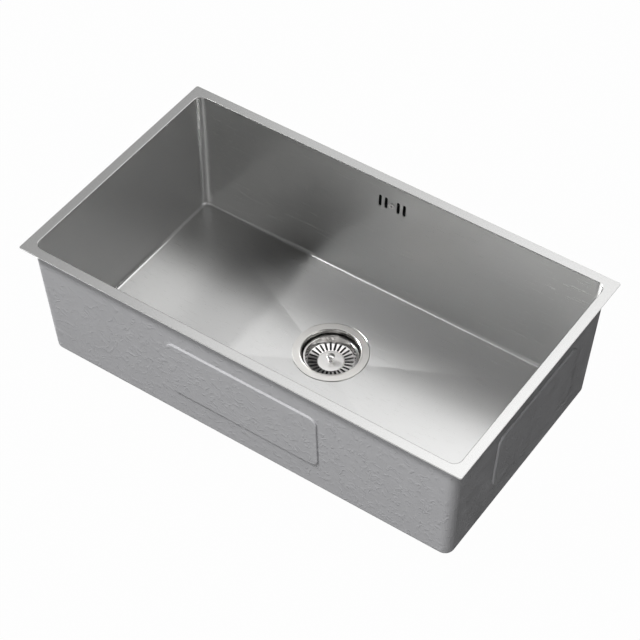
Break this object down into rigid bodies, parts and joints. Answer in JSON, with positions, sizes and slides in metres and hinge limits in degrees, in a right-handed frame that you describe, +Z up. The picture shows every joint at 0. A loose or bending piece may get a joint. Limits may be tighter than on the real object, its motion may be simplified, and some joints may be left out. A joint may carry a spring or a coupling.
{
  "type": "undermount kitchen sink",
  "caption": "Rectangular undermount kitchen sink of pressed stainless steel with a lift-out basket strainer waste, slotted overflow and sound pads.",
  "frame": {"origin": "centre of the bowl's opening in the plane of the rim's top face", "axes": "+X along the length, +Y to the wall with the overflow, +Z up out of the bowl"},
  "size_m": [0.7, 0.4123, 0.2954],
  "materials": {
    "bowl_steel": "satin brushed",
    "undercoat": "sprayed, matt grey, with a fine rough grain",
    "sound_pad": "matt grey undercoat over a rubber pad",
    "waste_steel": "satin",
    "basket_steel": "polished",
    "waste_plastic": "moulded",
    "overflow_plastic": "moulded",
    "seal_rubber": "matt",
    "insert_brass": "turned"
  },
  "bodies": {
    "sink": {"bowl": "bowl_steel", "undercoat": "undercoat", "front_sound_pad": "sound_pad", "right_sound_pad": "sound_pad", "left_sound_pad": "sound_pad", "rear_left_sound_pad": "sound_pad", "rear_right_sound_pad": "sound_pad", "floor_left_sound_pad": "sound_pad", "floor_right_sound_pad": "sound_pad", "waste_flange": "waste_steel", "flange_seal": "seal_rubber", "body_seal": "seal_rubber", "waste_body": "waste_plastic", "clamp_screw": "waste_steel", "body_insert": "insert_brass", "overflow_gasket": "seal_rubber", "overflow_housing": "overflow_plastic", "overflow_screw": "basket_steel", "overflow_insert": "insert_brass", "overflow_pipe": "waste_plastic", "upper_pipe_nut": "waste_plastic", "upper_pipe_seal": "seal_rubber", "lower_pipe_nut": "waste_plastic", "lower_pipe_seal": "seal_rubber"},
    "catch": {"catch_spring": "waste_steel"},
    "basket": {"strainer_basket": "basket_steel", "basket_knob": "basket_steel", "basket_stem": "basket_steel", "seal_carrier": "seal_rubber", "basket_seal": "seal_rubber", "seal_washer": "waste_steel"}
  },
  "joints": [
    {"name": "basket_lift", "type": "slide", "parent": "sink", "child": "catch", "axis": [0, 0, 1], "range_m": [0, 0.25]},
    {"name": "basket_turn", "type": "hinge", "parent": "catch", "child": "basket", "pos_m": [0, 0.033, -0.203], "axis": [0, 0, 1], "continuous": true}
  ]
}
